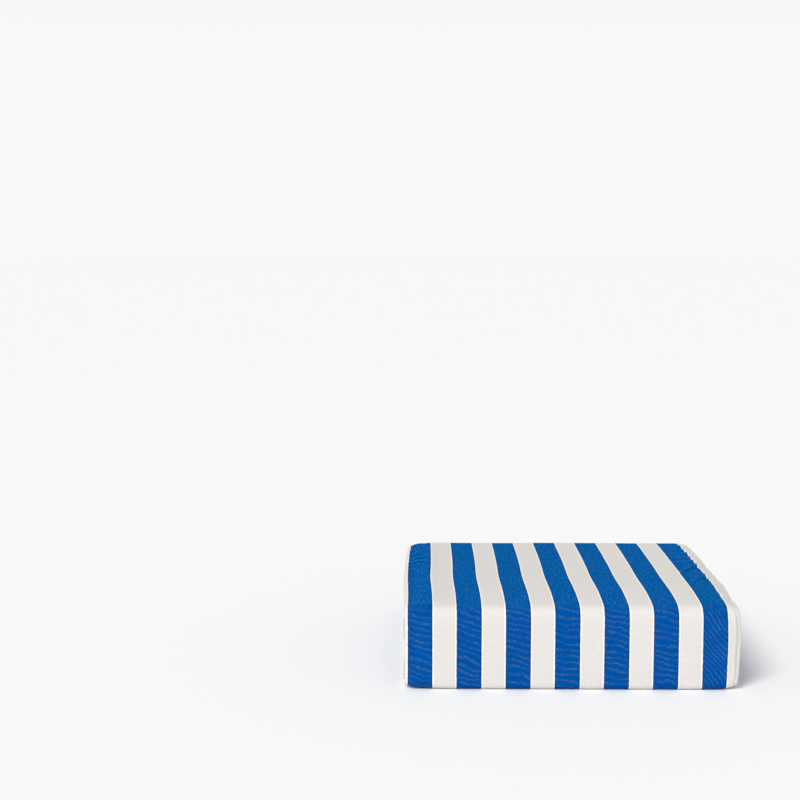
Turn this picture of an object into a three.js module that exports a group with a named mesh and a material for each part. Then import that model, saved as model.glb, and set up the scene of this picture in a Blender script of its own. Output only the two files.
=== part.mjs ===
// Striped lounge cushion: a foam-filled box cushion with a crowned top, soft rounded front and back
// edges and drawn-in ends, and two flat end panels sewn to its ends.
// Millimetres, +Z up. The origin is on the ground under the middle of the cushion, the front faces -Y.
import * as THREE from 'three';
import { mergeVertices } from 'three/addons/utils/BufferGeometryUtils.js';

// Overall sizes of the finished cushion
const WIDTH = 784;
const DEPTH = 784;
const HEIGHT = 206;

// End panels: one layer of cloth with its turned seam, a little off the filled body
const PANEL_THICKNESS = 2;
const SEAM_GAP = 0.45;
const PANEL_INSET = 9;

// The filled body lies between the two end panels
const BODY_HALF = {
  x: WIDTH / 2 - PANEL_THICKNESS - SEAM_GAP,
  y: DEPTH / 2,
  z: HEIGHT / 2,
};

// How far each edge is rounded off along each axis: the cloth wraps softly round the front and back
// edges, and turns tighter at the end seams
const EDGE_RADIUS = { x: 15, y: 23, z: 23 };
const PANEL_CORNER_RADIUS = 20;

// How much lower or further in each face is at its edges than in its middle, and how sharply:
// 1 would be a straight slope, and a larger number keeps more of the middle flat
const TOP_CROWN = { drop: 13, power: 4.4 };
const FRONT_CROWN = { drop: 8, power: 3 };
const END_CROWN = { drop: 7, power: 3 };

// The underside is flat where it rests, and lifts towards its edges
const REST_SHARE = 0.8;
const EDGE_LIFT = 3;

// Puckers where the end seams gather the cloth: soft troughs that run in over the top from a seam.
// end is 1 for the right seam and -1 for the left one, along is how far behind the middle of the seam
// a trough lies, width is its width along the seam, and depth is how deep it is at the seam.
const PUCKER_REACH = 75;
const PUCKERS = [
  { end: 1, along: -318, width: 62, depth: 3.2 },
  { end: 1, along: -212, width: 54, depth: 2.4 },
  { end: 1, along: -96, width: 66, depth: 3.6 },
  { end: 1, along: 34, width: 58, depth: 3.0 },
  { end: 1, along: 168, width: 70, depth: 4.0 },
  { end: 1, along: 292, width: 60, depth: 2.8 },
  { end: -1, along: -284, width: 64, depth: 2.6 },
  { end: -1, along: -128, width: 72, depth: 3.2 },
  { end: -1, along: 46, width: 58, depth: 2.2 },
  { end: -1, along: 214, width: 66, depth: 3.4 },
  { end: -1, along: 322, width: 56, depth: 2.4 },
];

// Mesh steps: across the flat middle of each side, and round each softened edge
const MIDDLE_STEPS = { x: 14, y: 26, z: 4 };
const EDGE_STEPS = 4;
// How strongly the middle steps crowd towards the edges: near 0 spaces them evenly
const CROWDING = { x: 1.2, y: 0.8, z: 0.8 };

const CLOTH_COLOUR = 0x6f93b8;
const CLOTH_ROUGHNESS = 0.9;

const AXES = ['x', 'y', 'z'];

// Moves one coordinate of an evenly divided box, from -1 to 1, to where the softened box needs it
function placeStep(share, half, radius, axis) {
  const middleHalf = MIDDLE_STEPS[axis] / 2;
  const fromMiddle = Math.abs(share) * (middleHalf + EDGE_STEPS);
  const flatHalf = half - radius;
  if (fromMiddle <= middleHalf) {
    const crowded = Math.sin(CROWDING[axis] * fromMiddle / middleHalf) / Math.sin(CROWDING[axis]);
    return Math.sign(share) * flatHalf * crowded;
  }
  const edgeShare = (fromMiddle - middleHalf) / EDGE_STEPS;
  return Math.sign(share) * (flatHalf + radius * Math.tan(edgeShare * Math.PI / 4));
}

// Rounds off the edges and corners of a box with these half sizes
function roundOff(point, half, radius, axes) {
  const excess = {};
  let largest = 0;
  let sum = 0;
  for (const axis of axes) {
    excess[axis] = Math.max(Math.abs(point[axis]) - (half[axis] - radius[axis]), 0) / radius[axis];
    largest = Math.max(largest, excess[axis]);
    sum += excess[axis] ** 2;
  }
  if (sum === 0) {
    return;
  }
  for (const axis of axes) {
    if (excess[axis] > 0) {
      const reach = radius[axis] * excess[axis] * largest / Math.sqrt(sum);
      point[axis] = Math.sign(point[axis]) * (half[axis] - radius[axis] + reach);
    }
  }
}

// How much of a face's crown has been lost at a point, from 0 in the middle to 1 at its edges
function fall(first, second, power) {
  const left = (1 - Math.abs(first) ** power) * (1 - Math.abs(second) ** power);
  return 1 - Math.max(left, 0);
}

// How deep the puckers are at a point on the top
function puckerDepth(x, y) {
  let depth = 0;
  for (const pucker of PUCKERS) {
    const fromSeam = BODY_HALF.x - x * pucker.end;
    const inward = Math.max(1 - fromSeam / PUCKER_REACH, 0) ** 2;
    const across = (y - pucker.along) / (pucker.width / 2);
    depth += pucker.depth * inward * Math.exp(-(across ** 2));
  }
  return depth;
}

// How far up the underside has lifted at a point, from 0 where it rests to 1 at its edges
function lift(first, second) {
  const pastRest = (share) => Math.max(Math.abs(share) - REST_SHARE, 0) / (1 - REST_SHARE);
  return Math.min(Math.hypot(pastRest(first), pastRest(second)), 1) ** 2;
}

// Fills out a point of the softened box: crowns the top, front, back and ends, and lifts the
// underside's edges. z runs from -HEIGHT / 2 to HEIGHT / 2 before this, and from 0 up after it.
function fillOut(point) {
  const shareX = point.x / BODY_HALF.x;
  const shareY = point.y / BODY_HALF.y;
  const shareZ = point.z / BODY_HALF.z;
  const crownDrop = TOP_CROWN.drop * fall(shareX, shareY, TOP_CROWN.power);
  const topHeight = HEIGHT - crownDrop - puckerDepth(point.x, point.y);
  const baseHeight = EDGE_LIFT * lift(shareX, shareY);
  point.x -= shareX * END_CROWN.drop * fall(shareY, shareZ, END_CROWN.power);
  point.y -= shareY * FRONT_CROWN.drop * fall(shareX, shareZ, FRONT_CROWN.power);
  point.z = baseHeight + (topHeight - baseHeight) * (shareZ + 1) / 2;
}

// Applies a function to each corner point of a geometry, then closes its shared corners
function shapePoints(geometry, movePoint) {
  const positions = geometry.attributes.position;
  const point = new THREE.Vector3();
  for (let index = 0; index < positions.count; index += 1) {
    point.fromBufferAttribute(positions, index);
    movePoint(point);
    positions.setXYZ(index, point.x, point.y, point.z);
  }
  geometry.deleteAttribute('normal');
  geometry.deleteAttribute('uv');
  const closed = mergeVertices(geometry, 1e-4);
  closed.computeVertexNormals();
  return closed;
}

function makeCloth(name) {
  return new THREE.MeshStandardMaterial({
    name,
    color: CLOTH_COLOUR,
    roughness: CLOTH_ROUGHNESS,
    metalness: 0,
  });
}

// The filled body: foam, its soft wrapping and the cloth that runs over the top, front, base and back
function makeFilledBody() {
  const steps = AXES.map((axis) => MIDDLE_STEPS[axis] + 2 * EDGE_STEPS);
  const box = new THREE.BoxGeometry(2, 2, 2, ...steps);
  const geometry = shapePoints(box, (point) => {
    for (const axis of AXES) {
      point[axis] = placeStep(point[axis], BODY_HALF[axis], EDGE_RADIUS[axis], axis);
    }
    roundOff(point, BODY_HALF, EDGE_RADIUS, AXES);
    fillOut(point);
  });
  const body = new THREE.Mesh(geometry, makeCloth('striped_canvas'));
  body.name = 'cushion';
  return body;
}

// One end panel: a sheet with rounded corners that follows the crowned end of the body.
// side is 1 at the right end and -1 at the left end.
function makeEndPanel(side, name) {
  const half = { y: BODY_HALF.y - PANEL_INSET, z: BODY_HALF.z - PANEL_INSET };
  const radius = { y: PANEL_CORNER_RADIUS, z: PANEL_CORNER_RADIUS };
  const steps = ['y', 'z'].map((axis) => MIDDLE_STEPS[axis] + 2 * EDGE_STEPS);
  const sheet = new THREE.BoxGeometry(2, 2, 2, 1, ...steps);
  const geometry = shapePoints(sheet, (point) => {
    const offBody = point.x * side > 0 ? SEAM_GAP + PANEL_THICKNESS : SEAM_GAP;
    for (const axis of ['y', 'z']) {
      point[axis] = placeStep(point[axis], half[axis], radius[axis], axis);
    }
    roundOff(point, half, radius, ['y', 'z']);
    point.x = side * BODY_HALF.x;
    fillOut(point);
    point.x += side * offBody;
  });
  const panel = new THREE.Mesh(geometry, makeCloth('striped_canvas_end'));
  panel.name = name;
  return panel;
}

const loungeCushion = new THREE.Group();
loungeCushion.add(
  makeFilledBody(),
  makeEndPanel(-1, 'end_panel_left'),
  makeEndPanel(1, 'end_panel_right'),
);

export default loungeCushion;
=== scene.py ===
import math
from functools import partial

import bmesh
import bpy
import numpy as np
from bpy.props import FloatProperty, FloatVectorProperty, IntProperty, PointerProperty, StringProperty
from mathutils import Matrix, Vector, noise


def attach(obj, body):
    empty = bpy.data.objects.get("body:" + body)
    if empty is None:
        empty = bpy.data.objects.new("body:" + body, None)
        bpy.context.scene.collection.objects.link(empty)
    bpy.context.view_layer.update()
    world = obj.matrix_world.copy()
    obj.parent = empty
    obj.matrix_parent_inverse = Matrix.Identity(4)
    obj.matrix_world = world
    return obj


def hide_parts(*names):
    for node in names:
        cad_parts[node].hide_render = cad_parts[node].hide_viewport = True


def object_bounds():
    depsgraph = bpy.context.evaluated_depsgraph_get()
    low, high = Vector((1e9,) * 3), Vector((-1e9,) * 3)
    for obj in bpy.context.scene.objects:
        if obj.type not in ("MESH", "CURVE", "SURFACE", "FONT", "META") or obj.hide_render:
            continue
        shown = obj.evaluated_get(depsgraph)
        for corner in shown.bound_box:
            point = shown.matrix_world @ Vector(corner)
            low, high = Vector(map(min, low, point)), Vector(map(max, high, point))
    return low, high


bl_info = {
    "name": "Striped Lounge Cushion",
    "version": (1, 0, 0),
    "blender": (4, 5, 0),
    "location": "View3D > Sidebar > Cushion",
    "description": "Models a foam-filled box cushion with a striped canvas cover and sewn end panels",
    "category": "Add Mesh",
}

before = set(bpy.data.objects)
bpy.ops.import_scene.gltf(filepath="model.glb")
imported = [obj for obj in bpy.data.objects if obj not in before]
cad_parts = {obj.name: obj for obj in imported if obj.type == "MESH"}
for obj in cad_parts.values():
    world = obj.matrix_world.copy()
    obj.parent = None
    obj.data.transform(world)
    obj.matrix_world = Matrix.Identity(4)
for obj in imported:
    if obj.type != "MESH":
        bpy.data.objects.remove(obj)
CAD_LOW, CAD_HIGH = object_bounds()
MM = 0.001
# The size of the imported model, in millimetres
CAD_SIZE = [(high - low) / MM for low, high in zip(CAD_LOW, CAD_HIGH)]

# The six sides of the cover, in the order of the numbers in its side attribute
SIDES = {
    "top": (0, 0, 1),
    "base": (0, 0, -1),
    "front": (0, -1, 0),
    "back": (0, 1, 0),
    "left": (-1, 0, 0),
    "right": (1, 0, 0),
}


def setting(name, description, default, **rest):
    return FloatProperty(name=name, description=description, default=default, **rest)


def measure(name, description, millimetres):
    return setting(name, description, millimetres * MM, unit="LENGTH")


def tint(name, description, hex_value):
    return StringProperty(name=name, description=description, default=hex_value)


class CushionShape(bpy.types.PropertyGroup):
    """Sizes of the filled cushion."""

    width: measure("Width", "Overall width, from end to end", CAD_SIZE[0])
    depth: measure("Depth", "Overall depth, from front to back", CAD_SIZE[1])
    height: measure("Height", "Overall thickness at the crown", CAD_SIZE[2])
    edge_radius: measure("Edge radius", "How far the cloth wraps softly round the front and back edges", 23)
    low_radius: measure("Low edge radius", "The same at the base, where its weight presses it tighter", 12)
    turn_width: measure("Turn width", "How far from an end seam the wrap panel starts to turn in", 28)
    turn_depth: measure("Turn depth", "How far the wrap panel has turned in at an end seam", 10)
    top_crown: measure("Top crown", "How much higher the middle of the top is than its front edge", 12)
    back_crown: measure("Back crown", "How much lower the top is at its back edge than just before it", 4.6)
    front_crown: measure("Front crown", "How far the middle of the front stands out from its edges", 7)
    settled: measure("Settled back", "How much lower the back half of the top has settled", 3.6)
    top_wander: measure("Top wander", "How far the sat-on top rises and sinks by chance", 1.1)
    base_lift: measure("Base lift", "How far the corners of the base lift off the ground", 7)


class CushionSewing(bpy.types.PropertyGroup):
    """How the cover is cut, gathered and sewn."""

    ease: setting("Ease", "How much longer the cloth is than its gathered seam", 0.16, subtype="FACTOR")
    pressure: setting("Filling pressure", "How hard the filling presses the cover out", 4.0)
    frames: IntProperty(
        name="Settling frames", description="Frames for which the cover settles", default=20)
    most_move: measure("Largest move", "How far settling may move a point of the cover", 9)
    seam_sink: measure("Seam depth", "How deep the stitched line lies between its two turned edges", 2.4)
    seam_swell: measure("Seam swell", "How far the turned allowance lifts the cloth beside a seam", 1.5)
    cloth_thickness: measure("Cloth thickness", "Thickness of the canvas of an end panel", 1.2)


class CushionCloth(bpy.types.PropertyGroup):
    """The striped canvas."""

    stripe: measure("Stripe", "Width of one stripe", 57.15)
    first_edge: measure("First stripe edge", "Where the leftmost blue stripe starts", -382.7)
    end_edge: measure("End stripe edge", "Where the lowest blue stripe of an end panel starts", 4)
    blue: tint("Blue", "Colour of the dyed yarn, as a hex value", "#004EAC")
    blue_edge: tint("Blue edge", "Colour of the closest dyed yarns beside a stripe's edge", "#00387A")
    navy: tint("Navy fleck", "Darker dyed fibres in the blend", "#004B8A")
    worn: tint("Worn fleck", "Paler fibres where sitting has rubbed the blue", "#2A64A8")
    # Painted sheen: the blue that the top is mixed towards, greener as the yarn's fuzz looks seen edge on
    top_sheen_blue: tint("Faded blue", "What the blue of the top fades towards in the sun", "#0082BA")
    slub: tint("Slub", "Colour of the thicker crosswise yarns in the blue", "#48638A")
    fuzz: tint("Fuzz", "Colour of the yarn's fuzz where it is seen edge on", "#19C39B")
    white: tint("White", "Colour of the natural yarn, as a hex value", "#D9D8D9")
    white_edge: tint("White edge", "Colour of the bleached yarns beside a stripe's edge", "#F6F0E7")
    cream: tint("Cream fleck", "Warmer fibres in the natural yarn", "#E0D9D1")
    thread: measure("Thread spacing", "Spacing of the yarns, drawn a little coarse so that it shows", 1.5)


class CushionStudio(bpy.types.PropertyGroup):
    """Camera, lights and floor."""

    lens: setting("Focal length", "Focal length on a 36 mm sensor, in millimetres", 72.0)
    camera_place: FloatVectorProperty(
        name="Camera place", description="Where the camera stands", default=(-0.356, -4.028, 1.068),
        subtype="TRANSLATION")
    camera_pitch: setting(
        "Camera pitch", "How far the camera looks down", math.radians(6.1), subtype="ANGLE")
    camera_yaw: setting(
        "Camera yaw", "How far the camera is turned to its left", math.radians(0.7), subtype="ANGLE")
    floor: tint("Floor", "Colour of the floor, as a hex value", "#FAFAF9")
    horizon: setting("Horizon", "Strength of the sky's light at the horizon", 0.95)
    zenith: setting("Zenith", "Strength of the sky's light overhead", 0.45)
    softbox_power: setting("Softbox power", "Strength of the large, far softbox", 2.0)
    softbox_place: FloatVectorProperty(
        name="Softbox place", description="Where the softbox hangs", default=(-2.2, -3.4, 4.2),
        subtype="TRANSLATION")


def to_linear(hex_colour):
    """Linear RGBA of an sRGB hex value."""
    shares = [int(hex_colour[start:start + 2], 16) / 255 for start in (1, 3, 5)]
    linear = [share / 12.92 if share <= 0.04045 else ((share + 0.055) / 1.055) ** 2.4 for share in shares]
    return (*linear, 1.0)


def deselect_all():
    if bpy.context.mode != "OBJECT":
        bpy.ops.object.mode_set(mode="OBJECT")
    bpy.ops.object.select_all(action="DESELECT")


def make_active(piece):
    deselect_all()
    piece.select_set(True)
    bpy.context.view_layer.objects.active = piece


def edit_by(element):
    """Opens the active piece in edit mode, to select its edges or its faces."""
    bpy.ops.object.mode_set(mode="EDIT")
    bpy.ops.mesh.select_mode(type=element)
    bpy.ops.mesh.select_all(action="DESELECT")


def apply_modifier(piece, kind, **settings):
    """Adds a modifier with its settings and applies it."""
    make_active(piece)
    modifier = piece.modifiers.new(kind.title(), kind)
    for name, value in settings.items():
        setattr(modifier, name, value)
    bpy.ops.object.modifier_apply(modifier=modifier.name)


def read(items, name, width=1, kind=float):
    """One property of all points, edges, faces or corners of a mesh, in rows if it has several numbers."""
    values = np.zeros(len(items) * width, dtype=kind)
    items.foreach_get(name, values)
    return values.reshape(-1, width) if width > 1 else values


def get_points(mesh):
    return read(mesh.vertices, "co", 3)


def get_normals(mesh):
    return read(mesh.vertex_normals, "vector", 3)


def stored(mesh, name, kind=float):
    return read(mesh.attributes[name].data, "value", kind=kind)


def store(mesh, name, values, kind="FLOAT", domain="POINT"):
    """Writes one value for each point or face as an attribute."""
    attribute = mesh.attributes.new(name, kind, domain)
    attribute.data.foreach_set("value", values.astype(np.int32 if kind == "INT" else np.float32))


def set_points(mesh, points):
    mesh.vertices.foreach_set("co", np.ascontiguousarray(points, dtype=np.float32).ravel())
    mesh.update()


def push_out(mesh, distance):
    """Moves each point along its normal, but not into the ground."""
    points = get_points(mesh) + get_normals(mesh) * distance[:, None]
    points[:, 2] = np.maximum(points[:, 2], 0)
    set_points(mesh, points)


def smooth_step(low, high, values):
    """0 below low and 1 above high, with a smooth rise between."""
    share = np.clip((values - low) / (high - low), 0, 1)
    return share * share * (3 - 2 * share)


def hill(distance, width=1):
    """A soft hill: 1 in its middle, and about a third of that at its width to both sides."""
    return np.exp(-(distance / width) ** 2)


# How far apart the noises of two seeds are read, counted in lumps
SEED_SHIFT = (17.3, 5.1, 9.7)


def uneven(points, size, seed):
    """Smooth noise between about -1 and 1 at each point, with lumps of the given size."""
    shift = Vector([step * seed for step in SEED_SHIFT])
    return np.array([noise.noise(Vector(point) / size + shift) for point in points])


# The cover's grid along each axis: how wide the close steps next to both ends are, over what stretch, and
# how wide they are in between. Puckers run in over the first 100 mm from an end seam.
GRID_STEPS = (
    {"close": 4.6 * MM, "stretch": 104 * MM, "between": 31 * MM},
    {"close": 4.6 * MM, "stretch": 28 * MM, "between": 7.4 * MM},
    {"close": 4.6 * MM, "stretch": 28 * MM, "between": 7.4 * MM},
)
# An edge runs along an axis if this share of its length does
ALONG_SHARE = 0.99
# Closer than this two places are the same, and TINY keeps a division from being by 0
SAME_PLACE = 1e-7
TINY = 1e-9


def stations(half, close, stretch, between):
    """Places of the grid lines from -half to half, closer together next to both ends."""
    near = round(stretch / close)
    middle = round((2 * half - 2 * stretch) / between)
    edge = np.linspace(-half, stretch - half, near + 1)
    wide = np.linspace(stretch - half, half - stretch, middle + 1)
    return np.concatenate([edge[:-1], wide, -edge[-2::-1]])


# How the two ends differ. reach is how far an end stands out from the middle, and bow_y and bow_z are how
# far its seam draws in at the front and back, and at the top and base. gathered is the share of a pucker's
# height at the seam itself. The left end is pressed flatter, and its seam is smoother.
END_FORMS = {
    "left": {"sign": -1, "reach": 390.5 * MM, "bow_y": -1.5 * MM, "bow_z": 0, "gathered": 0.08},
    "right": {"sign": 1, "reach": 396.5 * MM, "bow_y": 7 * MM, "bow_z": 3 * MM, "gathered": 0.3},
}
# How far each end's back corner is drawn in further, over what stretch of its seam, and how far it droops
BACK_CORNERS = {
    "left": {"draw": 4.5 * MM, "stretch": 190 * MM, "droop": 4 * MM},
    "right": {"draw": 4 * MM, "stretch": 120 * MM, "droop": 0.5 * MM},
}
# Places where an end seam wanders from its even curve, in millimetres: the end, how far behind the middle
# and above the middle height, how far the seam stands out (or in, below 0), and its spread along and up
SEAM_BENDS = (
    ("right", -392, 22, 4.4, 70, 58),
    ("right", -302, 92, -4.6, 34, 40),
    ("right", -246, 92, -2.4, 26, 40),
    ("right", -142, 92, 3.4, 30, 40),
    ("right", 60, 92, -3.0, 50, 40),
    ("right", 350, 92, 3.6, 40, 60),
    ("left", -20, 92, 5.2, 200, 40),
    ("left", 230, -30, -2.2, 80, 60),
)
# The steepest slope that the wrap panel reaches where it turns in to an end seam
TURN_ANGLE = math.radians(68)

# How sharply a form falls off to the edges: 1 would be a straight slope, and more keeps the middle flat
TOP_POWERS = (9, 4.4)
FRONT_POWERS = (6, 6)
BASE_POWER = 3
BOW_POWER = 3
END_POWER = 12
# The top: the share of its crown that is lost at the end seams, where its front crown passes into the back
# one, where it settles towards the back, and how broad its sat-on lumps are
TOP_END_LOSS = 0.5
CROWN_BLEND = (-0.3, 0.3)
SETTLED_SPAN = (-250 * MM, 280 * MM)
TOP_LUMP = 140 * MM
# The share of the base that rests flat, and how much less the front stands out at its foot
REST_SHARE = 0.6
FOOT_LOSS = 0.55
# Over which shares of the half height a form comes in, and of the half width a corner is drawn in
UPRIGHT_SPAN = (0, 0.9)
CORNER_SPAN = (0.8, 1.0)


def half_size(shape):
    return np.array([shape.width, shape.depth, shape.height]) / 2


def at_end(end, across, values):
    """The values for the points on one end's half of the cushion, and 0 for the others."""
    return np.where(across * END_FORMS[end]["sign"] > 0, values, 0)


def round_off(points, half, shape):
    """Rounds off the four long edges, which run from end to end."""
    radius = np.where(points[:, 2:] < 0, shape.low_radius, shape.edge_radius)
    flat = half[1:] - radius
    excess = np.maximum(np.abs(points[:, 1:]) - flat, 0) / radius
    length = np.sqrt((excess ** 2).sum(axis=1))
    share = excess.max(axis=1) / np.maximum(length, TINY)
    reach = flat + radius * excess * share[:, None]
    rounded = points.copy()
    rounded[:, 1:] = np.where(excess > 0, np.sign(points[:, 1:]) * reach, points[:, 1:])
    return rounded


def turn_in(points, half, shape):
    """Turns the wrap panel in towards the end seams, and draws the end panels in with it."""
    start = half[0] - shape.turn_width
    angle = np.clip((np.abs(points[:, 0]) - start) / shape.turn_width, 0, 1) * TURN_ANGLE
    turned = points.copy()
    along = start + shape.turn_width * np.sin(angle) / math.sin(TURN_ANGLE)
    turned[:, 0] = np.where(angle > 0, np.sign(points[:, 0]) * along, points[:, 0])
    drawn = shape.turn_depth * (1 - np.cos(angle)) / (1 - math.cos(TURN_ANGLE))
    turned[:, 1:] *= 1 - drawn[:, None] / half[1:]
    return turned


def loss(share_a, share_b, powers, most_a=1.0):
    """How much of a side's crown has been lost at a point, from 0 in the middle to 1 at its edges."""
    left = (1 - most_a * np.abs(share_a) ** powers[0]) * (1 - np.abs(share_b) ** powers[1])
    return 1 - np.maximum(left, 0)


def fill_out(points, half, shape):
    """Crowns the sides of a rounded box, shapes its ends and lifts the corners of its base. Z starts from
    its middle and ends up measured from the ground."""
    share = points / half
    share_x, share_y, share_z = share.T
    towards_back = smooth_step(*CROWN_BLEND, share_y)
    crown = shape.top_crown + (shape.back_crown - shape.top_crown) * towards_back
    ridge = shape.height - crown * loss(share_x, share_y, TOP_POWERS, TOP_END_LOSS)
    ridge -= shape.settled * smooth_step(*SETTLED_SPAN, points[:, 1])
    ridge += shape.top_wander * uneven(points, TOP_LUMP, seed=4)
    past_rest = np.maximum(np.abs(share[:, :2]) - REST_SHARE, 0) / (1 - REST_SHARE)
    base = shape.base_lift * (past_rest ** BASE_POWER).prod(axis=1)
    filled = points.copy()
    front_crown = shape.front_crown * (1 - FOOT_LOSS * smooth_step(*UPRIGHT_SPAN, -share_z))
    filled[:, 1] -= share_y * front_crown * loss(share_x, share_z, FRONT_POWERS)
    filled[:, 2] = base + (ridge - base) * (share_z + 1) / 2
    near_end = np.abs(share_x) ** END_POWER
    for end, form in END_FORMS.items():
        bow = form["bow_y"] * np.abs(share_y) ** BOW_POWER + form["bow_z"] * np.abs(share_z) ** BOW_POWER
        stand_out = form["reach"] - half[0] - bow
        filled[:, 0] += at_end(end, share_x, form["sign"] * stand_out * near_end)
    for end, bend_y, bend_z, out, spread_y, spread_z in SEAM_BENDS:
        spread = ((points[:, 1] / MM - bend_y) / spread_y) ** 2
        spread += ((points[:, 2] / MM - bend_z) / spread_z) ** 2
        bent = END_FORMS[end]["sign"] * out * MM * np.exp(-spread) * near_end
        filled[:, 0] += at_end(end, share_x, bent)
    for end, corner in BACK_CORNERS.items():
        sign = END_FORMS[end]["sign"]
        nearness = smooth_step(half[1] - corner["stretch"], half[1], points[:, 1])
        fade = smooth_step(*CORNER_SPAN, share_x * sign)
        filled[:, 0] -= sign * corner["draw"] * nearness * fade
        filled[:, 2] -= corner["droop"] * nearness * smooth_step(*UPRIGHT_SPAN, share_z) * fade
    return filled


# By how many points an outline is measured
OUTLINE_POINTS = 2000


def arc_lengths(outline, places, values):
    """Length along an outline, given by its points at rising values, at each of the places."""
    steps = np.linalg.norm(np.diff(outline, axis=0), axis=1)
    lengths = np.concatenate([[0], np.cumsum(steps)])
    return np.sign(places) * np.interp(np.abs(places), values, lengths)


def edge_length(half, radius, places):
    """Cloth length from the middle of a side to places on it, round half of the softened edge."""
    values = np.linspace(0, half, OUTLINE_POINTS)
    excess = np.maximum(values - (half - radius), 0) / radius
    share = 1 / np.sqrt(1 + excess ** 2)
    outline = np.stack([np.where(excess > 0, half - radius + radius * excess * share, values),
                        radius * share], axis=1)
    return arc_lengths(outline, places, values)


def end_length(half, shape, places):
    """Cloth length from the middle of the wrap panel to places between its end seams."""
    values = np.linspace(0, half[0], OUTLINE_POINTS)
    line = np.zeros((len(values), 3))
    line[:, 0] = values
    line[:, 2] = half[2]
    return arc_lengths(turn_in(line, half, shape), places, values)


def side_reaches(half, shape):
    """Cloth length from the middle to the edge of the top, and of the front."""
    return [edge_length(half[axis], shape.edge_radius, half[axis]) for axis in (1, 2)]


def make_grid_box(name, half):
    """A cube cut into a grid of panels, with its side numbers stored on its faces."""
    deselect_all()
    bpy.ops.mesh.primitive_cube_add(size=2, location=(0, 0, 0))
    box = bpy.context.active_object
    box.name = name
    lines = [stations(side, **steps) for side, steps in zip(half, GRID_STEPS)]
    for axis, places in enumerate(lines):
        edit_by("EDGE")
        mesh = bmesh.from_edit_mesh(box.data)
        for edge in mesh.edges:
            run = edge.verts[1].co - edge.verts[0].co
            edge.select_set(abs(run[axis]) > ALONG_SHARE * run.length)
        bmesh.update_edit_mesh(box.data)
        bpy.ops.mesh.subdivide(number_cuts=len(places) - 2)
        bpy.ops.object.mode_set(mode="OBJECT")
    directions = np.array(list(SIDES.values()))
    sides = (read(box.data.polygons, "normal", 3) @ directions.T).argmax(axis=1)
    store(box.data, "side", sides, "INT", "FACE")
    points = get_points(box.data)
    for axis, places in enumerate(lines):
        index = np.rint((points[:, axis] + 1) / 2 * (len(places) - 1)).astype(int)
        points[:, axis] = places[index]
    set_points(box.data, points)
    return box


# The stripes are pulled a little to the left in the front half of the top: how far, where that is strongest
# and how far it spreads, and where it begins and ends across the top
PULL = {
    "far": 3 * MM,
    "strongest": -110 * MM,
    "spread": 130 * MM,
    "begins": (-385 * MM, -345 * MM),
    "ends": (200 * MM, 380 * MM),
}


def lay_cloth_map(box, half, shape):
    """Gives the box a map in metres of cloth: U across the stripes, V along them.
    On the four sides of the wrap panel V runs on round the cushion from its closing seam, at the back of
    the base. On an end panel U runs from front to back, and V runs up from its lower seam."""
    mesh = box.data
    points = get_points(mesh)
    over_x = end_length(half, shape, points[:, 0])
    over_y, over_z = (edge_length(half[axis], shape.edge_radius, points[:, axis]) for axis in (1, 2))
    reach_y, reach_z = side_reaches(half, shape)
    top_start = 2 * reach_y + 2 * reach_z
    along = {
        "base": reach_y - over_y,
        "front": 2 * reach_y + reach_z + over_z,
        "top": top_start + reach_y + over_y,
        "back": top_start + 2 * reach_y + reach_z - over_z,
        "left": reach_z + over_z,
        "right": reach_z + over_z,
    }
    across = {side: over_y if side in END_FORMS else over_x for side in SIDES}
    pulled = PULL["far"] * hill(points[:, 1] - PULL["strongest"], PULL["spread"])
    pulled *= smooth_step(*PULL["begins"], points[:, 0]) * (1 - smooth_step(*PULL["ends"], points[:, 0]))
    end_gap = end_length(half, shape, half[0]) - np.abs(over_x)
    across["top"] = over_x + pulled - drawn_out(points, end_gap)
    loops = read(mesh.loops, "vertex_index", kind=np.int32)
    corners = read(mesh.polygons, "loop_total", kind=np.int32)
    side_of_loop = np.repeat(stored(mesh, "side", np.int32), corners)
    uv = np.zeros((len(loops), 2), dtype=np.float32)
    for number, side in enumerate(SIDES):
        chosen = side_of_loop == number
        uv[chosen, 0] = across[side][loops[chosen]]
        uv[chosen, 1] = along[side][loops[chosen]]
    mesh.uv_layers.new(name="cloth").data.foreach_set("uv", uv.ravel())
    face_gap = np.minimum(reach_y - np.abs(over_y), reach_z - np.abs(over_z))
    on_end = np.abs(np.abs(points[:, 0]) - half[0]) < SAME_PLACE
    store(mesh, "from_seam", np.where(on_end, face_gap, end_gap))
    store(mesh, "on_wrap", np.where(on_end & (face_gap > SAME_PLACE), 0, 1))
    from_closing = np.hypot(np.maximum(half[1] - points[:, 1], 0), np.maximum(points[:, 2] + half[2], 0))
    store(mesh, "from_closing", from_closing)


def pucker(end, seam, inner, reach, width, height, trough=1):
    """A soft ridge that runs in over the top from an end seam, in millimetres. seam and inner are how far
    behind the middle it lies at the seam and at its inner end, and reach is how far in it runs. Its trough
    lies behind it for 1, and in front of it for -1."""
    sizes = {"seam": seam, "inner": inner, "reach": reach, "width": width, "height": height}
    lengths = {name: size * MM for name, size in sizes.items()}
    return {"end": end, "trough": trough, **END_FORMS[end], **lengths}


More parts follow.
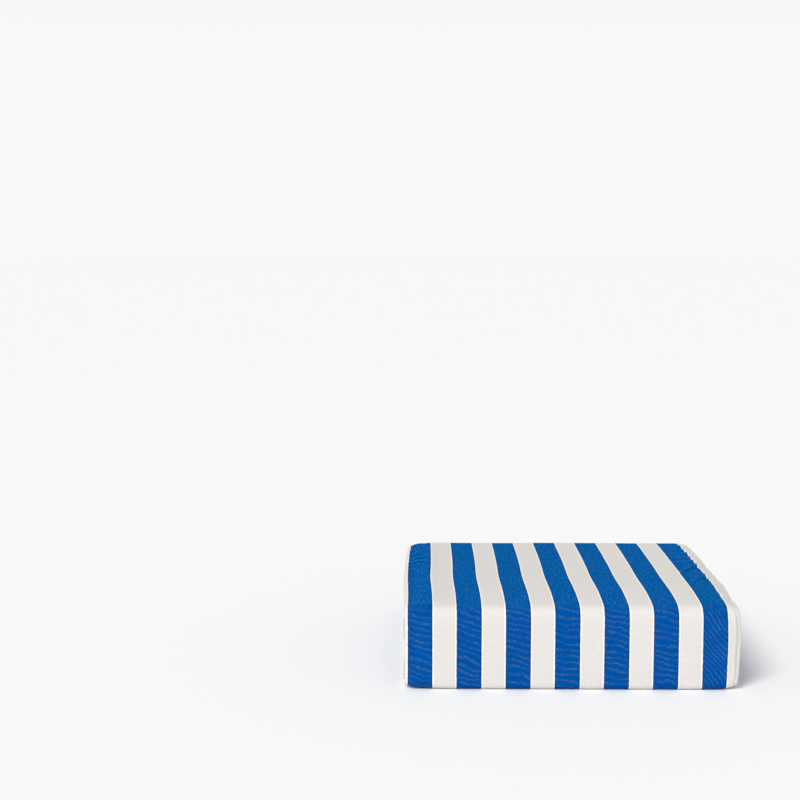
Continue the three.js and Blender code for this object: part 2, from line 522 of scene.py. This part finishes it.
PUCKERS = [pucker(end, *sizes) for end, ridges in {
    "right": (
        (-262, -276, 48, 12, 2.6),
        (-178, -196, 46, 9, 3.2),
        (-138, -150, 44, 8, 3.4),
        (-98, -112, 40, 8, 3.0),
        (-44, -168, 92, 13, 6.2, -1),
        (78, -66, 106, 13, 8.4, -1),
        (116, 90, 88, 13, 5.4),
        (158, 142, 70, 12, 3.0),
        (214, 200, 96, 13, 6.0),
        (258, 252, 64, 11, 2.6),
        (316, 300, 76, 13, 3.8),
    ),
    "left": (
        (-106, -112, 56, 14, 2.0),
        (8, 14, 62, 12, 3.6),
        (52, 62, 66, 12, 5.2),
        (94, 112, 70, 13, 6.8),
        (140, 170, 66, 13, 6.2),
        (196, 290, 76, 13, 8.6),
        (262, 350, 62, 15, 3.6),
        (330, 384, 50, 14, 2.2),
    ),
}.items() for sizes in ridges]
# How a pucker bends, its breadth at the seam and what that gains, and its trough next to its crest
COURSE_POWER = 1.5
SEAM_BREADTH = 0.75
BREADTH_GAIN = 0.6
TROUGH_DEPTH = 0.5
TROUGH_PLACE = 1.6
# Where a pucker rises from a plain seam and from a gathered one, and how it fades towards its inner end
RISE_SPAN = (0.15, 0.46)
GATHERED_RISE = 9 * MM
FADE_POWER = 0.8
# How far a gathered crest draws the cloth sideways next to its height, and where that fades out
CREST_DRAW = 1.2
CREST_DRAW_SPAN = (24 * MM, 70 * MM)
# How squarely a point has to face up to be on the top
TOP_FACING = (0.4, 0.9)


def stand_up(form, points, from_seam):
    """How far a point stands up on a pucker, from 1 on its crest to about -0.5 in its trough, and how far
    along the pucker it lies, from 0 at the seam to 1 at its inner end."""
    way = np.clip(from_seam / form["reach"], 0, 1)
    middle = form["seam"] + (form["inner"] - form["seam"]) * way ** COURSE_POWER
    across = (points[:, 1] - middle) / (form["width"] * (SEAM_BREADTH + BREADTH_GAIN * way))
    return hill(across) - TROUGH_DEPTH * hill(across - TROUGH_PLACE * form["trough"]), way


def drawn_out(points, from_seam):
    """How far the cloth of the top is drawn towards the right on the crests beside a gathered seam."""
    near = 1 - smooth_step(*CREST_DRAW_SPAN, from_seam)
    drawn = np.zeros(len(points))
    for form in PUCKERS:
        ridge, _ = stand_up(form, points, from_seam)
        share = CREST_DRAW * form["sign"] * form["gathered"] * near
        drawn += at_end(form["end"], points[:, 0], share * form["height"] * ridge)
    return drawn


def raise_puckers(cover):
    """Lifts the puckers off the top, so that the settling cloth takes them up."""
    points = get_points(cover.data)
    from_seam = stored(cover.data, "from_seam")
    lift = np.zeros(len(points))
    for form in PUCKERS:
        ridge, way = stand_up(form, points, from_seam)
        begun = form["gathered"] * smooth_step(0, GATHERED_RISE, from_seam)
        begun += (1 - form["gathered"]) * smooth_step(*RISE_SPAN, way)
        fade = (1 - way) ** FADE_POWER * begun
        lift += at_end(form["end"], points[:, 0], form["height"] * ridge * fade)
    push_out(cover.data, lift * smooth_step(*TOP_FACING, get_normals(cover.data)[:, 2]))


# Long soft folds that run up the front beside its right seam, in millimetres: how far in from the seam, how
# broad and how high each is
FRONT_FOLDS = ((10, 3.8, -2.4), (17, 4.2, 2.2), (27, 6, -1.2))
# How far the folds sway sideways, over what height, and where they begin and end above the ground
FOLD_SWAY = 2.2
SWAY_LUMP = 60 * MM
FOLDS_BEGIN = (12, 45)
FOLDS_END = (165, 195)
# How squarely a point faces the front to be folded, and how much a turn to the right counts
FRONT_FACING = (0.5, 0.9)
RIGHT_TURN = 0.4


def fold_front(cover):
    """Folds the cloth beside the front's right seam, where it is a little full."""
    points = get_points(cover.data)
    normals = get_normals(cover.data)
    above = points[:, 2] / MM
    sway = FOLD_SWAY * uneven(points * (0, 0, 1), SWAY_LUMP, seed=5)
    in_from_seam = stored(cover.data, "from_seam") / MM - sway
    here = smooth_step(*FRONT_FACING, -normals[:, 1] + RIGHT_TURN * normals[:, 0]) * (points[:, 0] > 0)
    here *= smooth_step(*FOLDS_BEGIN, above) * (1 - smooth_step(*FOLDS_END, above))
    lift = sum(height * MM * hill(in_from_seam - place, width) for place, width, height in FRONT_FOLDS)
    push_out(cover.data, lift * here)


# How the canvas behaves while it settles: firm along its yarns, and easy to bend
CANVAS_FEEL = {
    "quality": 6,
    "mass": 0.3,
    "tension_stiffness": 40,
    "compression_stiffness": 40,
    "shear_stiffness": 12,
    "bending_stiffness": 0.25,
    "tension_damping": 8,
    "compression_damping": 8,
    "shear_damping": 8,
    "air_damping": 2,
}
# How far gathers run in from a seam, their patches, and their share on an end panel
GATHER_REACH = 40 * MM
GATHER_PATCH = 90 * MM
PATCH_SPAN = (0.2, 0.75)
LEAST_GATHER = 0.4
END_GATHER = 0.3
# How firmly the settling cloth is held, where 1 doesn't move, and how much more in the middle of a side
SEAM_HOLD = 0.03
MIDDLE_HOLD = 0.4
HOLD_SPAN = (40 * MM, 120 * MM)
END_HOLD = 0.35
# Cloth this close to a stitched line or to the ground doesn't move
STITCHED = 0.4 * MM
RESTING = 2.5 * MM
# How squarely a point has to face an end to be on its panel
END_FACING = 0.9


def settle_cloth(cover, sewing):
    """Lets the cover settle over its filling, gathered into its seams, and caps how far it moves."""
    mesh = cover.data
    start = get_points(mesh)
    from_seam = stored(mesh, "from_seam")
    on_end = np.abs(get_normals(mesh)[:, 0]) > END_FACING
    patchy = smooth_step(*PATCH_SPAN, 0.5 + 0.5 * uneven(start, GATHER_PATCH, seed=3))
    gather = hill(from_seam, GATHER_REACH) * (LEAST_GATHER + (1 - LEAST_GATHER) * patchy)
    gather = np.where(on_end, END_GATHER * gather, gather)
    held = np.where(on_end, END_HOLD, SEAM_HOLD + MIDDLE_HOLD * smooth_step(*HOLD_SPAN, from_seam))
    held = np.where((from_seam < STITCHED) | (start[:, 2] < RESTING), 1.0, held)
    for name, weights in (("held", held), ("gather", gather)):
        group = cover.vertex_groups.new(name=name)
        for index, weight in enumerate(weights):
            group.add([index], float(weight), "REPLACE")
    make_active(cover)
    modifier = cover.modifiers.new("Settling", "CLOTH")
    cloth = modifier.settings
    for name, value in CANVAS_FEEL.items():
        setattr(cloth, name, value)
    cloth.use_pressure = True
    cloth.uniform_pressure_force = sewing.pressure
    cloth.effector_weights.gravity = 0
    cloth.vertex_group_mass = "held"
    cloth.pin_stiffness = 1.0
    cloth.vertex_group_shrink = "gather"
    cloth.shrink_max = -sewing.ease
    modifier.point_cache.frame_end = sewing.frames
    for number in range(1, sewing.frames + 1):
        bpy.context.scene.frame_set(number)
    bpy.ops.object.modifier_apply(modifier=modifier.name)
    bpy.context.scene.frame_set(1)
    cover.vertex_groups.clear()
    moved = get_points(mesh) - start
    length = np.linalg.norm(moved, axis=1)
    capped = sewing.most_move * np.tanh(length / sewing.most_move)
    moved *= (capped / np.maximum(length, TINY))[:, None]
    settled = start + moved
    settled[:, 2] = np.maximum(settled[:, 2], 0)
    set_points(mesh, settled)


# The seams, in millimetres from the stitched line: its groove, where the turned allowance ends and by how
# much that wanders, the small dip past it, and the gathers
GROOVE = 1.6
ALLOWANCE = (8.5, 12.5)
WANDER = 1.5
STEP = {"place": 13.5, "width": 2.2, "depth": 0.35}
RIPPLE = {"reach": 14.0, "begins": (0, 2.5), "small": 0.4 * MM, "broad": 0.45 * MM}
SMALL_LUMP = 11 * MM
BROAD_LUMP = 37 * MM
SWELL_UNEVEN = 0.35
# The closing seam: its groove, the ridge beside it, and how far from an end seam it starts
CLOSING_GROOVE = {"width": 1.9, "share": 0.7}
CLOSING_RIDGE = {"place": 5.5, "width": 3.0, "share": 0.5}
CLOSING_STARTS = (2, 8)


def sink_seams(cover, sewing):
    """Sinks the stitched lines, raises the wrap panel over the seam allowance that is turned under it,
    and adds small uneven gathers along them."""
    mesh = cover.data
    points = get_points(mesh)
    from_seam = stored(mesh, "from_seam") / MM
    from_closing = stored(mesh, "from_closing") / MM
    on_wrap = stored(mesh, "on_wrap")
    small = uneven(points, SMALL_LUMP, seed=1)
    broad = uneven(points, BROAD_LUMP, seed=2)
    wandering = from_seam + WANDER * broad
    band = 1 - smooth_step(*ALLOWANCE, wandering)
    step = -STEP["depth"] * hill(wandering - STEP["place"], STEP["width"])
    swell = sewing.seam_swell * (band * (1 + SWELL_UNEVEN * broad) + step) * on_wrap
    ripple = hill(from_seam, RIPPLE["reach"]) * (RIPPLE["small"] * small + RIPPLE["broad"] * broad)
    move = swell + ripple * smooth_step(*RIPPLE["begins"], from_seam)
    move -= sewing.seam_sink * hill(from_seam, GROOVE)
    closing = -CLOSING_GROOVE["share"] * sewing.seam_sink * hill(from_closing, CLOSING_GROOVE["width"])
    ridge = hill(from_closing - CLOSING_RIDGE["place"], CLOSING_RIDGE["width"])
    closing += CLOSING_RIDGE["share"] * sewing.seam_swell * ridge
    push_out(mesh, move + closing * on_wrap * smooth_step(*CLOSING_STARTS, from_seam))


# How crests are found, in rounds of neighbours, and how strongly they are marked beside a seam and at all
LEVELLING_ROUNDS = 8
FULL_CREST = 1.4 * MM
CLEAR_OF_SEAM = (6, 22)
SEAM_SHARE = 0.2
CREST_SHARE = 0.7


# The canvas paints highlight where this marks a crest, and shade where it marks a trough
def mark_crests(cover, smooth_points):
    """Stores how far each point stands out from the cloth round it, next to where it lay before the cloth
    was gathered: up to 0.7 on the crest of a pucker, and down to -1 in a trough."""
    mesh = cover.data
    points = get_points(mesh)
    edges = read(mesh.edges, "vertices", 2, np.int32)
    first, second = edges.T
    neighbours = np.bincount(edges.ravel(), minlength=len(points))
    risen = ((points - smooth_points) * get_normals(mesh)).sum(axis=1)
    around = risen
    for _ in range(LEVELLING_ROUNDS):
        around = (np.bincount(first, around[second], len(points))
                  + np.bincount(second, around[first], len(points))) / neighbours
    away = smooth_step(*CLEAR_OF_SEAM, stored(mesh, "from_seam") / MM)
    crest = np.tanh((risen - around) / FULL_CREST) * (SEAM_SHARE + (1 - SEAM_SHARE) * away)
    store(mesh, "crest", np.where(crest > 0, CREST_SHARE * crest, crest))


# What the second word of a node's kind sets
NODE_MODES = {
    "Math": "operation",
    "VectorMath": "operation",
    "Mix": "data_type",
    "TexNoise": "noise_dimensions",
    "MapRange": "interpolation_type",
}


def add_node(tree, kind, values=None, output=None):
    """Adds one shader node and gives its first live output, or the named one. kind is its kind, with its
    operation or mode as a second word. A key of values is a property's name, or an input's name or number,
    and a value that is another node's output is linked."""
    kind, _, mode = kind.partition(" ")
    node = tree.nodes.new("ShaderNode" + kind)
    if mode:
        setattr(node, NODE_MODES[kind], mode)
    for key, value in (values or {}).items():
        if isinstance(value, bpy.types.NodeSocket):
            tree.links.new(value, node.inputs[key])
        elif isinstance(key, str) and key not in node.inputs:
            setattr(node, key, value)
        else:
            node.inputs[key].default_value = value
    if output:
        return node.outputs[output]
    return next((socket for socket in node.outputs if socket.enabled), node)


# What makes the cloth uneven: the size of each noise's lumps in millimetres, its detail and its roughness
CLOTH_NOISES = {
    "stripe edge": (7, 2, 0.5),
    "heather": (5.5, 3, 0.65),
    "single yarns": (2.4, 2, 0.6),
    "sag": (85, 2, 0.5),
    "worn and sheened line": (13, 2, 0.5),
    "shiver": (6.5, 2, 0.6),
    "dashes": (3.8, 1, 0.5),
    "patches": (34, 1, 0.5),
    "fuzz": (2.2, 3, 0.6),
}
# How far the patterns of the cloth stray, and their spacing, slant and size
EDGE_WANDER = 1.4 * MM
YARN_SAG = 34 * MM
YARN_SLANT = 0.23
ASKEW_START = 296 * MM
ASKEW_SLANT = 0.95
SLUB_SPACING = 15.8 * MM
SLUB_SHIVER = 7 * MM
BAND_SPACING = 19 * MM
BAND_SLANT = 0.22
WORN_AND_SHEENED_WANDER = 22 * MM
WORN_AND_SHEENED_SPAN = (-10 * MM, 14 * MM)
SPECK_STRETCH = 0.22
SPECK_SIZE = 5.2 * MM
# How much of the painted sheen's greener blue the top gets, how much the heather counts in the white,
# and how far the weave and the slubs stand up next to the yarns' fuzz
PAINTED_SHEEN_SHARE = 0.14
WHITE_HEATHER = 0.5
WEAVE_RELIEF = 0.6
SLUB_RELIEF = 0.5
# The closest yarns beside a stripe's edge, in the blue and in the white, and the edge itself
BLUE_LINE = {"From Min": -2.2 * MM, "From Max": -1.2 * MM, "To Max": 0.8}
WHITE_LINE = {"From Min": 2.9 * MM, "From Max": 4.3 * MM, "To Min": 0.9, "To Max": 0.0}
EDGE_ITSELF = {"From Min": 0.4 * MM, "From Max": 0.8 * MM}


def stripe_edges(add, noises, over, cloth, first_edge):
    """How far a point lies inside a white stripe, in metres, and less than 0 in a blue one. The edges
    wander by a fraction of a millimetre, as the yarns do."""
    moved = add("Math MULTIPLY_ADD", {0: noises["stripe edge"], 1: EDGE_WANDER, 2: over})
    before = -0.5 * (first_edge + EDGE_WANDER / 2) / cloth.stripe - 0.25
    turns = add("Math MULTIPLY_ADD", {0: moved, 1: 0.5 / cloth.stripe, 2: before})
    folded = add("Math PINGPONG", {0: turns, 1: 0.5})
    return add("Math MULTIPLY_ADD", {0: folded, 1: 2 * cloth.stripe, 2: -0.5 * cloth.stripe})


def crosswise_lay(add, noises, over, along):
    """Where a crosswise yarn lies along the stripes. The yarns sag a little across the cloth, and run
    askew at its far end, where it was pulled off its grain."""
    swayed = add("Math MULTIPLY_ADD", {0: noises["sag"], 1: YARN_SAG, 2: along})
    sagged = add("Math MULTIPLY_ADD", {0: over, 1: YARN_SLANT, 2: swayed})
    far = add("Math SUBTRACT", {0: over, 1: ASKEW_START})
    past = add("Math MAXIMUM", {0: far, 1: 0.0})
    return add("Math MULTIPLY_ADD", {0: past, 1: ASKEW_SLANT, 2: sagged})


def worn_and_sheened_top(add, noises, along, top):
    """Where people sit, and where the top gets its painted sheen, from 0 to 1: the whole top, up to an
    uneven line round its front and back edges.
    """
    from_middle = add("Math SUBTRACT", {0: along, 1: top["middle"]})
    distance = add("Math ABSOLUTE", {0: from_middle})
    ragged = add("Math MULTIPLY_ADD", {0: noises["worn and sheened line"], 1: WORN_AND_SHEENED_WANDER, 2: distance})
    inner, outer = (top["reach"] + past for past in WORN_AND_SHEENED_SPAN)
    return add("MapRange",
               {"From Min": inner, "From Max": outer, "To Min": 1.0, "To Max": 0.0, "Value": ragged})


# How high a wave rises
WAVE_TOP = 0.5


def even_wave(add, place, spacing):
    """Rises evenly from 0 and falls back again, once over each spacing."""
    turns = add("Math MULTIPLY", {0: place, 1: 1 / spacing})
    return add("Math PINGPONG", {0: turns, 1: WAVE_TOP})


def slub_lines(add, noises, lay):
    """The slubs: thicker crosswise yarns in lines about 16 mm apart, broken up into short dashes that are
    strong in some places and faint in others."""
    shaken = add("Math MULTIPLY_ADD", {0: noises["shiver"], 1: SLUB_SHIVER, 2: lay})
    wave = even_wave(add, shaken, SLUB_SPACING)
    lines = add("MapRange", {"From Min": 0.25, "From Max": 0.42, "Value": wave})
    dashes = add("MapRange", {"From Min": 0.40, "From Max": 0.58, "Value": noises["dashes"]})
    strength = add("MapRange",
                   {"From Min": 0.30, "From Max": 0.58, "To Min": 0.35, "Value": noises["patches"]})
    broken = add("Math MULTIPLY", {0: lines, 1: dashes})
    return add("Math MULTIPLY", {0: broken, 1: strength})


def dyed_yarn(add, place, heather, top_wear_and_sheen, slubs, cloth, streaks):
    """The blue. On the top it is mixed a little towards a greener blue, a painted sheen; where people sit
    its slubs are rubbed flat, and paler fibres come up in specks that run along the lengthwise yarns."""
    blended = add("MapRange", {"From Min": 0.40, "From Max": 0.60, "Value": heather})
    colour = add("Mix RGBA", {0: blended, 6: to_linear(cloth.blue), 7: to_linear(cloth.navy)})
    # Painted sheen: the top's blue is mixed towards a greener blue
    painted_sheen_share = add("Math MULTIPLY", {0: top_wear_and_sheen, 1: PAINTED_SHEEN_SHARE})
    stretched = add("VectorMath MULTIPLY", {0: place, 1: streaks})
    fibres = add("TexNoise 2D",
                 {"Scale": 1 / SPECK_SIZE, "Detail": 2, "Roughness": 0.6, "Vector": stretched})
    specks = add("MapRange", {"From Min": 0.48, "From Max": 0.76, "Value": fibres})
    rubbed_up = add("Math MULTIPLY", {0: specks, 1: top_wear_and_sheen})
    proud = add("MapRange", {"To Min": 0.8, "To Max": 0.04, "Value": top_wear_and_sheen})
    raised = add("Math MULTIPLY", {0: slubs, 1: proud})
    crowded = add("MapRange", {"From Max": 0.25, "To Max": 0.8, "Value": raised})
    for name, share in {"top_sheen_blue": painted_sheen_share, "worn": rubbed_up, "navy": crowded, "slub": raised}.items():
        colour = add("Mix RGBA", {0: share, 6: colour, 7: to_linear(getattr(cloth, name))})
    return colour


def natural_yarn(add, over, lay, heather, top_wear_and_sheen, cloth):
    """The white, with soft cream bands at a slant, a thumb's width apart and rubbed out on the top."""
    slant = add("Math MULTIPLY_ADD", {0: over, 1: BAND_SLANT, 2: lay})
    wave = even_wave(add, slant, BAND_SPACING)
    band_share = add("MapRange", {"To Min": 1.0, "To Max": 0.15, "Value": top_wear_and_sheen})
    bands = add("Mix", {0: band_share, 2: WAVE_TOP / 2, 3: wave})
    mottled = add("Math MULTIPLY_ADD", {0: heather, 1: WHITE_HEATHER, 2: bands})
    share = add("MapRange", {"From Min": 0.26, "From Max": 0.74, "Value": mottled})
    return add("Mix RGBA", {0: share, 6: to_linear(cloth.white), 7: to_linear(cloth.cream)})


def woven_relief(add, place, fuzz, slubs, thread):
    """The height of the cloth's grain. In a plain weave each yarn rises over every second crossing. Real
    yarns are about 0.6 mm apart, and are drawn coarser here so that they show."""
    ribs = []
    for axis in ("X", "Y"):
        step = add("SeparateXYZ", {0: place}, output=axis)
        turn = add("Math MULTIPLY", {0: step, 1: math.pi / thread})
        ribs.append(add("Math SINE", {0: turn}))
    weave = add("Math MULTIPLY", {0: ribs[0], 1: ribs[1]})
    grain = add("Math MULTIPLY_ADD", {0: weave, 1: WEAVE_RELIEF, 2: fuzz})
    height = add("Math MULTIPLY_ADD", {0: slubs, 1: SLUB_RELIEF, 2: grain})
    return add("Bump", {"Strength": 0.4, "Distance": 0.35 * MM, "Height": height})


def solution_dyed_canvas(name, cloth, first_edge, across, top):
    """Solution-dyed acrylic canvas in a plain weave: matt and dry, with a small woven grain. Slubs in the
    crosswise yarn draw broken greyish lines over the blue, the fibres are a blend, so the blue is
    heathered and the white is faintly cream in places, and the yarns at a stripe's edge are beaten
    closest, which draws a fine line there. across names the map's axis that runs across the stripes."""
    material = bpy.data.materials.new(name)
    material.use_nodes = True
    material.node_tree.nodes.clear()
    add = partial(add_node, material.node_tree)
    place = add("UVMap", {"uv_map": "cloth"})
    over = add("SeparateXYZ", {0: place}, output=across)
    along = add("SeparateXYZ", {0: place}, output="Y" if across == "X" else "X")
    noises = {}
    for use, (size, detail, roughness) in CLOTH_NOISES.items():
        look = {"Scale": 1 / (size * MM), "Detail": detail, "Roughness": roughness}
        noises[use] = add("TexNoise 2D", {**look, "Vector": place})
    # The heather of the blend: lumps a few yarns wide, and finer ones of single yarns
    heather = add("Mix", {0: 0.5, 2: noises["heather"], 3: noises["single yarns"]})
    lay = crosswise_lay(add, noises, over, along)
    # Where people sit, which also carries where the top's painted sheen lies
    top_wear_and_sheen = worn_and_sheened_top(add, noises, along, top)
    slubs = slub_lines(add, noises, lay)
    streaks = (1, SPECK_STRETCH, 1) if across == "X" else (SPECK_STRETCH, 1, 1)
    blue = dyed_yarn(add, place, heather, top_wear_and_sheen, slubs, cloth, streaks)
    white = natural_yarn(add, over, lay, heather, top_wear_and_sheen, cloth)

    inside = stripe_edges(add, noises, over, cloth, first_edge)
    near_blue = add("MapRange", {**BLUE_LINE, "Value": inside})
    edged_blue = add("Mix RGBA", {0: near_blue, 6: blue, 7: to_linear(cloth.blue_edge)})
    near_white = add("MapRange", {**WHITE_LINE, "Value": inside})
    edged_white = add("Mix RGBA", {0: near_white, 6: white, 7: to_linear(cloth.white_edge)})
    is_white = add("MapRange", {**EDGE_ITSELF, "Value": inside})
    striped = add("Mix RGBA", {0: is_white, 6: edged_blue, 7: edged_white})

    # Painted highlight and painted shade: the crests of the puckers are lightened and their troughs
    # darkened, most in the blue, to deepen the puckers' shading. The heather also mottles the tone at
    # random.
    crest = add("Attribute", {"attribute_name": "crest"}, output="Fac")
    painted_relief_share = add("MapRange", {"To Min": 0.46, "To Max": 0.11, "Value": is_white})
    mottle = add("MapRange", {"To Min": 0.85, "To Max": 1.15, "Value": heather})
    painted_shade_and_mottle = add("Math MULTIPLY_ADD", {0: crest, 1: painted_relief_share, 2: mottle})
    colour = add("VectorMath SCALE", {"Vector": striped, "Scale": painted_shade_and_mottle})

    # Acrylic yarn is dull: no gloss, and only a breath of sheen where its fuzz is seen edge on
    relief = woven_relief(add, place, noises["fuzz"], slubs, cloth.thread)
    shader = add("BsdfPrincipled",
                 {"Roughness": 0.92, "Specular IOR Level": 0.0, "Sheen Weight": 0.04,
                  "Sheen Roughness": 0.45, "Sheen Tint": to_linear(cloth.fuzz), "Base Color": colour,
                  "Normal": relief})
    add("OutputMaterial", {"Surface": shader})
    return material


class CUSHION_OT_filled_cover(bpy.types.Operator):
    """Makes the filled cushion in its wrap panel, settled over its foam and gathered into its end seams"""

    bl_idname = "cushion.filled_cover"
    bl_label = "Filled Cover"

    def execute(self, context):
        shape = context.scene.cushion_shape
        sewing = context.scene.cushion_sewing
        half = half_size(shape)
        cover = make_grid_box("cushion_cover", half)
        lay_cloth_map(cover, half, shape)
        rounded = round_off(get_points(cover.data), half, shape)
        smooth_points = fill_out(turn_in(rounded, half, shape), half, shape)
        set_points(cover.data, smooth_points)
        raise_puckers(cover)
        settle_cloth(cover, sewing)
        mark_crests(cover, smooth_points)
        apply_modifier(cover, "SUBSURF", levels=1, render_levels=1)
        sink_seams(cover, sewing)
        fold_front(cover)
        return {"FINISHED"}


# How far the filling stays behind an end panel, and over what span from its seam
PANEL_GAP = 0.4 * MM
PRESSED_SPAN = (0.4 * MM, 3 * MM)
# Faces that meet at less than this are shaded smooth
SMOOTH_ANGLE = math.radians(75)


class CUSHION_OT_end_panels(bpy.types.Operator):
    """Cuts the end panels to the settled cover's ends, and presses its filling in behind them"""

    bl_idname = "cushion.end_panels"
    bl_label = "End Panels"

    def execute(self, context):
        shape = context.scene.cushion_shape
        sewing = context.scene.cushion_sewing
        cloth = context.scene.cushion_cloth
        cover = bpy.data.objects["cushion_cover"]
        reach_y, reach_z = side_reaches(half_size(shape), shape)
        top = {"middle": 3 * reach_y + 2 * reach_z, "reach": reach_y}
        canvas = solution_dyed_canvas("wrap_canvas", cloth, cloth.first_edge, "X", top)
        end_canvas = solution_dyed_canvas("end_canvas", cloth, cloth.end_edge, "Y", top)
        for side in END_FORMS:
            panel = self.cut_panel(cover, side)
            apply_modifier(panel, "SOLIDIFY", thickness=sewing.cloth_thickness, offset=-1)
            panel.data.materials.append(end_canvas)
            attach(panel, "root")
            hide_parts(f"end_panel_{side}")
            self.shade(panel)
        self.press_filling(cover, sewing.cloth_thickness + PANEL_GAP)
        cover.data.materials.append(canvas)
        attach(cover, "root")
        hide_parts("cushion")
        self.shade(cover)
        return {"FINISHED"}

    def cut_panel(self, cover, side):
        """Copies the faces of one end into a piece of their own."""
        make_active(cover)
        edit_by("FACE")
        bpy.ops.object.mode_set(mode="OBJECT")
        chosen = stored(cover.data, "side", np.int32) == list(SIDES).index(side)
        cover.data.polygons.foreach_set("select", chosen)
        bpy.ops.object.mode_set(mode="EDIT")
        bpy.ops.mesh.duplicate()
        bpy.ops.mesh.separate(type="SELECTED")
        bpy.ops.object.mode_set(mode="OBJECT")
        panel = next(made for made in bpy.context.selected_objects if made != cover)
        panel.name = f"end_cloth_{side}"
        return panel

    def press_filling(self, cover, depth):
        """Moves the cover's own ends in, so that each lies under its panel."""
        points = get_points(cover.data)
        inside_end = 1 - stored(cover.data, "on_wrap")
        under = smooth_step(*PRESSED_SPAN, stored(cover.data, "from_seam")) * inside_end
        points[:, 0] -= np.sign(points[:, 0]) * depth * under
        set_points(cover.data, points)

    def shade(self, piece):
        make_active(piece)
        bpy.ops.object.shade_smooth_by_angle(angle=SMOOTH_ANGLE)


# The floor is a large disc, a little under the ground so that it never shares a face with the base
FLOOR_RADIUS = 60
FLOOR_GAP = 0.3 * MM
# How wide the softbox looks, and where it points
SOFTBOX_SPREAD = math.radians(24)
SOFTBOX_AIM = Vector((0, 0, 0.1))


class CUSHION_OT_studio(bpy.types.Operator):
    """Sets up the floor, the soft studio lights and the camera"""

    bl_idname = "cushion.studio"
    bl_label = "Studio"

    def execute(self, context):
        studio = context.scene.cushion_studio
        self.lay_floor(studio)
        self.hang_lights(context, studio)
        self.place_camera(context, studio)
        context.scene.view_settings.view_transform = "Standard"
        return {"FINISHED"}

    def lay_floor(self, studio):
        deselect_all()
        bpy.ops.mesh.primitive_circle_add(vertices=96, radius=FLOOR_RADIUS, fill_type="NGON",
                                          location=(0, 0, -FLOOR_GAP))
        floor = bpy.context.active_object
        floor.name = "floor"
        material = bpy.data.materials.new("matt_floor")
        material.use_nodes = True
        shader = material.node_tree.nodes["Principled BSDF"]
        shader.inputs["Base Color"].default_value = to_linear(studio.floor)
        shader.inputs["Roughness"].default_value = 0.9
        floor.data.materials.append(material)

    def hang_lights(self, context, studio):
        """Lights the sky from a bright horizon to a softer zenith, and hangs one large softbox."""
        world = bpy.data.worlds.new("soft_sky")
        world.use_nodes = True
        tree = world.node_tree
        add = partial(add_node, tree)
        place = add("TexCoord", output="Generated")
        rise = add("SeparateXYZ", {0: place}, output="Z")
        strength = add("MapRange SMOOTHSTEP",
                       {"From Min": 0.06, "From Max": 0.75, "To Min": studio.horizon,
                        "To Max": studio.zenith, "Value": rise})
        tree.links.new(strength, tree.nodes["Background"].inputs["Strength"])
        tree.nodes["Background"].inputs["Color"].default_value = (1, 1, 1, 1)
        context.scene.world = world
        lamp = bpy.data.lights.new("softbox", "SUN")
        lamp.angle = SOFTBOX_SPREAD
        lamp.energy = studio.softbox_power
        softbox = bpy.data.objects.new("softbox", lamp)
        softbox.location = studio.softbox_place
        aim = SOFTBOX_AIM - softbox.location
        softbox.rotation_euler = aim.to_track_quat("-Z", "Y").to_euler()
        context.scene.collection.objects.link(softbox)

    def place_camera(self, context, studio):
        camera = bpy.data.objects.new("camera", bpy.data.cameras.new("camera"))
        camera.data.sensor_width = 36
        camera.data.lens = studio.lens
        camera.location = studio.camera_place
        camera.rotation_euler = (math.pi / 2 - studio.camera_pitch, 0, studio.camera_yaw)
        context.scene.collection.objects.link(camera)
        context.scene.camera = camera


class CUSHION_PT_panel(bpy.types.Panel):
    """Lists the steps that make the cushion"""

    bl_label = "Lounge Cushion"
    bl_idname = "CUSHION_PT_panel"
    bl_space_type = "VIEW_3D"
    bl_region_type = "UI"
    bl_category = "Cushion"

    def draw(self, context):
        for group in ("cushion_shape", "cushion_sewing", "cushion_cloth", "cushion_studio"):
            settings = getattr(context.scene, group)
            box = self.layout.box()
            for name in settings.__annotations__:
                box.prop(settings, name)
        for operator in STEPS:
            self.layout.operator(operator.bl_idname)


SETTINGS = {
    "cushion_shape": CushionShape,
    "cushion_sewing": CushionSewing,
    "cushion_cloth": CushionCloth,
    "cushion_studio": CushionStudio,
}
STEPS = (CUSHION_OT_filled_cover, CUSHION_OT_end_panels, CUSHION_OT_studio)
CLASSES = (*SETTINGS.values(), *STEPS, CUSHION_PT_panel)


def register():
    for made in CLASSES:
        bpy.utils.register_class(made)
    for name, group in SETTINGS.items():
        setattr(bpy.types.Scene, name, PointerProperty(type=group))


def unregister():
    for name in SETTINGS:
        delattr(bpy.types.Scene, name)
    for made in reversed(CLASSES):
        bpy.utils.unregister_class(made)


def main():
    register()
    bpy.ops.cushion.filled_cover()
    bpy.ops.cushion.end_panels()
    bpy.ops.cushion.studio()


if __name__ == "__main__":
    main()
